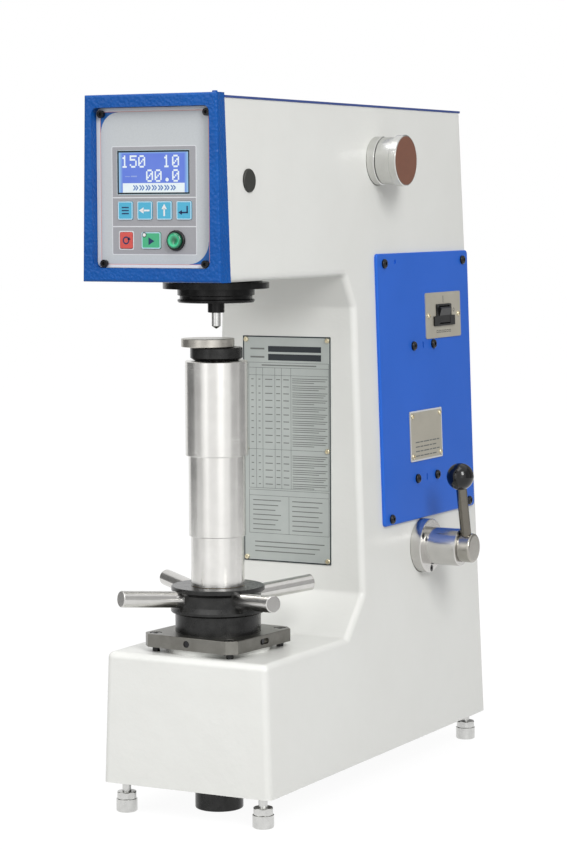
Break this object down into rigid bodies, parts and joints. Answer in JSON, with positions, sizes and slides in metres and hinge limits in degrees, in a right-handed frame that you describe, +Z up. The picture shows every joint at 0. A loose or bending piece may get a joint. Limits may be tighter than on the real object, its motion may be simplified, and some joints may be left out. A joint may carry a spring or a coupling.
{
  "type": "bench hardness tester",
  "caption": "Bench Rockwell hardness tester: C-shaped casting, capstan-driven elevating screw with anvil, dead-weight loading beam worked by a side lever, and a digital display head.",
  "frame": {"origin": "on the screw and indenter axis, at the floor that the feet stand on", "axes": "+Z up along the screw; -Y towards the operator; +X to the operator's right, the side of the loading lever"},
  "size_m": [0.2281, 0.5292, 0.6397],
  "materials": {
    "white_paint": "satin, lightly textured",
    "blue_paint": "satin, lightly textured",
    "cover_blue": "satin",
    "bright_steel": "machined",
    "black_oxide": "black oxide on steel, satin",
    "chrome": "polished",
    "cast_weight": "matt",
    "bronze": "machined",
    "brass": "satin",
    "label_metal": "satin",
    "panel_grey": "satin",
    "lcd_glass": "gloss",
    "key_blue": "satin",
    "key_red": "satin",
    "key_green": "satin",
    "black_plastic": "gloss",
    "brown_laminate": "polished",
    "circuit": "matt"
  },
  "bodies": {
    "frame": {"button_collar": "black_plastic", "control_board": "circuit", "dashpot_cylinder": "bright_steel", "data_plate": "label_metal", "depth_sensor": "black_plastic", "display_bezel": "blue_paint", "foot_nuts": "chrome", "frame_casting": "white_paint", "fulcrum_block": "bright_steel", "head_plug": "black_plastic", "label_screws": "brass", "lcd_screen": "lcd_glass", "leveling_feet": "chrome", "lever_flange": "chrome", "lid_screws": "black_oxide", "mains_gland": "black_plastic", "name_plate": "label_metal", "panel_plate": "panel_grey", "panel_screws": "black_oxide", "screw_guard": "black_oxide", "seat_plate": "bright_steel", "selector_ring": "chrome", "side_cover": "cover_blue", "side_cover_screws": "black_oxide", "socket_screws": "black_oxide", "spindle_guide": "bronze", "spindle_shroud": "black_oxide", "switch_body": "black_plastic", "switch_plate": "label_metal", "thrust_ring": "black_oxide", "top_cover": "blue_paint"},
    "capstan": {"capstan_head": "black_oxide", "capstan_bars": "bright_steel", "lifting_nut": "bronze", "lower_cover_tube": "bright_steel"},
    "screw": {"elevating_screw": "bright_steel", "upper_cover_tube": "bright_steel", "anvil": "black_oxide"},
    "mid_tube": {"middle_cover_tube": "bright_steel"},
    "block": {"test_block": "bright_steel"},
    "plunger": {"spindle": "black_oxide", "indenter": "bright_steel"},
    "beam": {"load_beam": "bright_steel"},
    "hanger": {"hanger_rod": "bright_steel", "weight_stack": "cast_weight", "dashpot_piston": "bright_steel"},
    "lever": {"lever_shaft": "chrome", "lever_rod": "chrome", "lever_knob": "black_plastic"},
    "selector": {"selector_knob": "chrome", "knob_face": "brown_laminate", "selector_shaft": "bright_steel"},
    "rocker": {"power_rocker": "black_plastic"},
    "start_button": {"green_button": "key_green"},
    "key_function_cap": {"key_function": "key_blue"},
    "key_left_cap": {"key_left": "key_blue"},
    "key_up_cap": {"key_up": "key_blue"},
    "key_enter_cap": {"key_enter": "key_blue"},
    "key_reset_cap": {"key_reset": "key_red"},
    "key_start_cap": {"key_start": "key_green"}
  },
  "joints": [
    {"name": "capstan_turn", "type": "hinge", "parent": "frame", "child": "capstan", "pos_m": [0, 0, 0.193], "axis": [0, 0, 1], "range_deg": [-540, 8064]},
    {"name": "screw_lift", "type": "slide", "parent": "frame", "child": "screw", "axis": [0, 0, 1], "range_m": [-0.112, 0.0075]},
    {"name": "mid_tube_lift", "type": "slide", "parent": "frame", "child": "mid_tube", "axis": [0, 0, 1], "range_m": [-0.04256, 0.00285]},
    {"name": "block_slide", "type": "slide", "parent": "screw", "child": "block", "axis": [0, -1, 0], "range_m": [0, 0.12]},
    {"name": "lever_swing", "type": "hinge", "parent": "frame", "child": "lever", "pos_m": [0, 0.261, 0.214], "axis": [1, 0, 0], "range_deg": [0, 95]},
    {"name": "hanger_drop", "type": "slide", "parent": "frame", "child": "hanger", "axis": [0, 0, 1], "range_m": [-0.012, 0]},
    {"name": "beam_rock", "type": "hinge", "parent": "frame", "child": "beam", "pos_m": [0, -0.016, 0.5483], "axis": [1, 0, 0], "range_deg": [-2.6, 0]},
    {"name": "plunger_press", "type": "slide", "parent": "frame", "child": "plunger", "axis": [0, 0, 1], "range_m": [-0.0007, 0]},
    {"name": "selector_turn", "type": "hinge", "parent": "frame", "child": "selector", "pos_m": [0, 0.189, 0.5843], "axis": [1, 0, 0], "range_deg": [0, 120]},
    {"name": "rocker_tip", "type": "hinge", "parent": "frame", "child": "rocker", "pos_m": [0.07346, 0.319, 0.43526], "axis": [0, -1, 0], "range_deg": [0, 18]},
    {"name": "start_button_press", "type": "slide", "parent": "frame", "child": "start_button", "axis": [0, 1, 0], "range_m": [0, 0.003], "stiffness_N_per_m": 400},
    {"name": "key_function_press", "type": "slide", "parent": "frame", "child": "key_function_cap", "axis": [0, 1, 0], "range_m": [0, 0.0005], "stiffness_N_per_m": 1500},
    {"name": "key_left_press", "type": "slide", "parent": "frame", "child": "key_left_cap", "axis": [0, 1, 0], "range_m": [0, 0.0005], "stiffness_N_per_m": 1500},
    {"name": "key_up_press", "type": "slide", "parent": "frame", "child": "key_up_cap", "axis": [0, 1, 0], "range_m": [0, 0.0005], "stiffness_N_per_m": 1500},
    {"name": "key_enter_press", "type": "slide", "parent": "frame", "child": "key_enter_cap", "axis": [0, 1, 0], "range_m": [0, 0.0005], "stiffness_N_per_m": 1500},
    {"name": "key_reset_press", "type": "slide", "parent": "frame", "child": "key_reset_cap", "axis": [0, 1, 0], "range_m": [0, 0.0005], "stiffness_N_per_m": 1500},
    {"name": "key_start_press", "type": "slide", "parent": "frame", "child": "key_start_cap", "axis": [0, 1, 0], "range_m": [0, 0.0005], "stiffness_N_per_m": 1500}
  ],
  "couplings": [
    {"joint": "screw_lift", "follows": "capstan_turn", "m_per_rad": -0.00079577},
    {"joint": "mid_tube_lift", "follows": "capstan_turn", "m_per_rad": -0.00030239},
    {"joint": "lever_swing", "follows": "hanger_drop", "rad_per_m": -138.12},
    {"joint": "beam_rock", "follows": "hanger_drop", "rad_per_m": 3.6101},
    {"joint": "plunger_press", "follows": "hanger_drop", "ratio": 0.057762}
  ]
}
